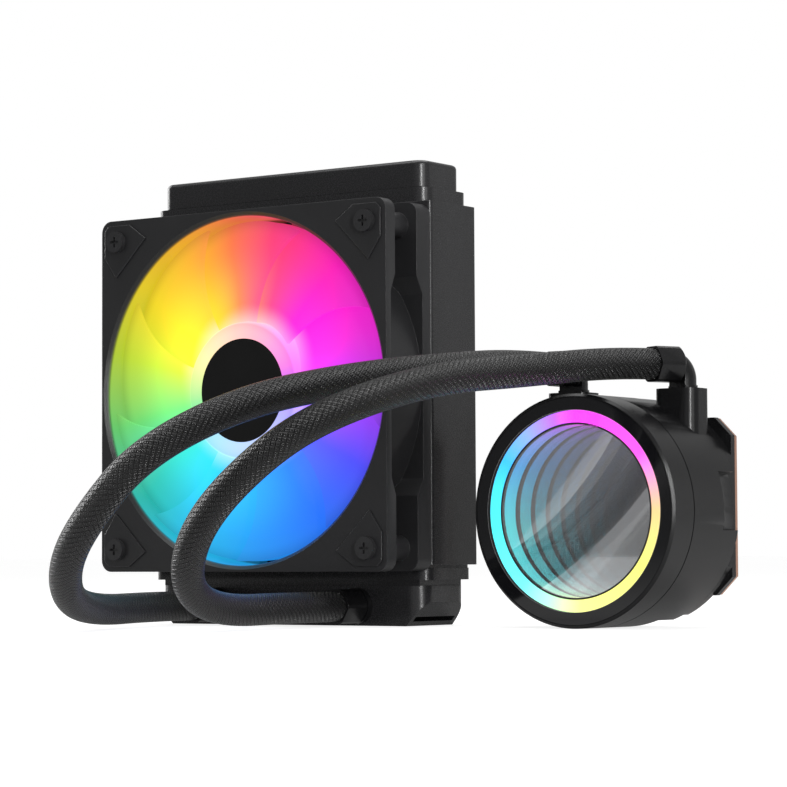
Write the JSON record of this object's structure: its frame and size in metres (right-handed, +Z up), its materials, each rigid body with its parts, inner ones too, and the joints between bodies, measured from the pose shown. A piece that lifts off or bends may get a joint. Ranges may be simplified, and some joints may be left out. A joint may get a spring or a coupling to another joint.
{
  "type": "all in one cpu liquid cooler",
  "caption": "Closed-loop liquid cooler: radiator with a lit axial fan, two sleeved hoses, and a round pump head with a mirror light ring and copper base.",
  "frame": {"origin": "middle of the flat foot, which is the underside of the radiator's lower tank", "axes": "+Z up, -Y towards the side that the fan blows from and the pump's glass faces, +X from the radiator towards the pump head"},
  "size_m": [0.2141, 0.1835, 0.1533],
  "materials": {
    "black_plastic": "satin black moulded plastic",
    "painted_aluminium": "black powder coat on aluminium",
    "core_aluminium": "thin black coat on aluminium tubes and fins",
    "frosted_plastic": "translucent frosted white plastic",
    "cap_plastic": "gloss black label disc",
    "soft_rubber": "matt black rubber",
    "black_screw": "black oxide steel",
    "steel": "plain steel",
    "magnet": "bonded ferrite",
    "copper": "machined copper",
    "winding": "enamelled copper wire",
    "circuit_board": "circuit board with parts",
    "glass": "smoked half-silvered glass",
    "mirror": "silvered plate",
    "light_guide": "frosted light guide",
    "sleeve": "black braided sleeve over a rubber hose",
    "ceramic": "polished ceramic"
  },
  "bodies": {
    "root": {"fan_frame": "black_plastic", "fan_corner_pads": "soft_rubber", "fan_screws": "black_screw", "fan_bearing": "steel", "fan_motor_core": "steel", "fan_coils": "winding", "fan_light_board": "circuit_board", "side_channel_left": "painted_aluminium", "side_channel_right": "painted_aluminium", "radiator_tubes": "core_aluminium", "radiator_fins": "core_aluminium", "upper_header_pan": "painted_aluminium", "upper_tank": "painted_aluminium", "lower_header_pan": "painted_aluminium", "lower_tank": "painted_aluminium", "tank_fittings": "black_plastic", "tank_hose_collars": "black_plastic", "pump_housing": "black_plastic", "front_glass": "glass", "light_ring": "light_guide", "lamp_frame": "black_plastic", "rear_mirror": "mirror", "ring_light_board": "circuit_board", "pump_motor": "winding", "pump_board": "circuit_board", "impeller_pin": "ceramic", "chamber_plate": "black_plastic", "pump_base": "black_plastic", "base_gasket": "soft_rubber", "cold_plate": "copper", "base_screws": "black_screw", "hose_left": "sleeve", "hose_right": "sleeve"},
    "fan_spinner": {"fan_rotor": "frosted_plastic", "fan_hub_cap": "cap_plastic", "fan_rotor_yoke": "steel", "fan_magnet": "magnet", "fan_shaft": "steel"},
    "pump_impeller": {"impeller": "black_plastic", "impeller_bush": "ceramic"},
    "left_elbow": {"elbow_left": "black_plastic", "elbow_seal_left": "soft_rubber", "elbow_collar_left": "black_plastic"},
    "right_elbow": {"elbow_right": "black_plastic", "elbow_seal_right": "soft_rubber", "elbow_collar_right": "black_plastic"}
  },
  "joints": [
    {"name": "fan_spin", "type": "hinge", "parent": "root", "child": "fan_spinner", "pos_m": [0, -0.026, 0.078], "axis": [0, 1, 0], "continuous": true},
    {"name": "impeller_spin", "type": "hinge", "parent": "root", "child": "pump_impeller", "pos_m": [0.1174, 0, 0.0367], "axis": [0, 1, 0], "continuous": true},
    {"name": "left_elbow_swivel", "type": "hinge", "parent": "root", "child": "left_elbow", "pos_m": [0.0972, 0.0145, 0.07], "axis": [0, 0, 1], "range_deg": [-25, 25], "deforming": ["hose_left"]},
    {"name": "right_elbow_swivel", "type": "hinge", "parent": "root", "child": "right_elbow", "pos_m": [0.1376, 0.0145, 0.07], "axis": [0, 0, 1], "range_deg": [-25, 25], "deforming": ["hose_right"]}
  ]
}
